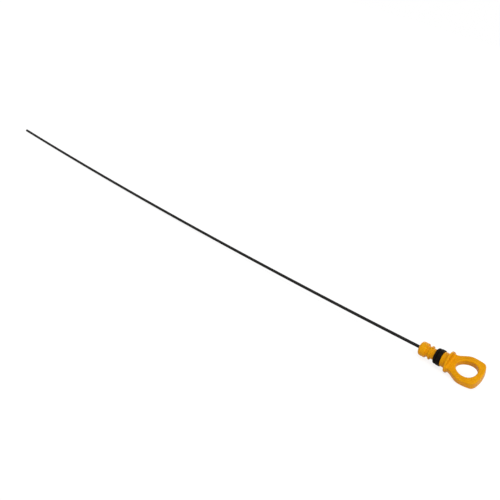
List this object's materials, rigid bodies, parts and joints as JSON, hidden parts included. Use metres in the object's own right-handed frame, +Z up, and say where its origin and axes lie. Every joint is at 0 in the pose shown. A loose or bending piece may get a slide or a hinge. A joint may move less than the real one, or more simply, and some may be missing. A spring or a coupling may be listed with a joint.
{
  "type": "engine oil dipstick",
  "caption": "Engine oil dipstick: a long thin bowed steel rod with level grooves near its tip, and a moulded plastic plug with a finger loop, a stop flange and a lipped rubber seal.",
  "frame": {"origin": "centre of the stop flange's seat face, on the handle's own axis", "axes": "+X runs along the piece from the tip towards the finger loop, and +Z is up as it lies at rest; the handle's axis dips 1.49 degrees towards the tip, and the loop is rolled 34.8 degrees about that axis"},
  "size_m": [0.7062, 0.0498, 0.0225],
  "materials": {
    "handle_plastic": "satin moulded amber-yellow nylon",
    "seal_rubber": "matt black moulded rubber",
    "rod_steel": "black oxide spring steel wire with an oily sheen"
  },
  "bodies": {
    "root": {"handle": "handle_plastic", "seal": "seal_rubber", "rod": "rod_steel"}
  },
  "joints": []
}
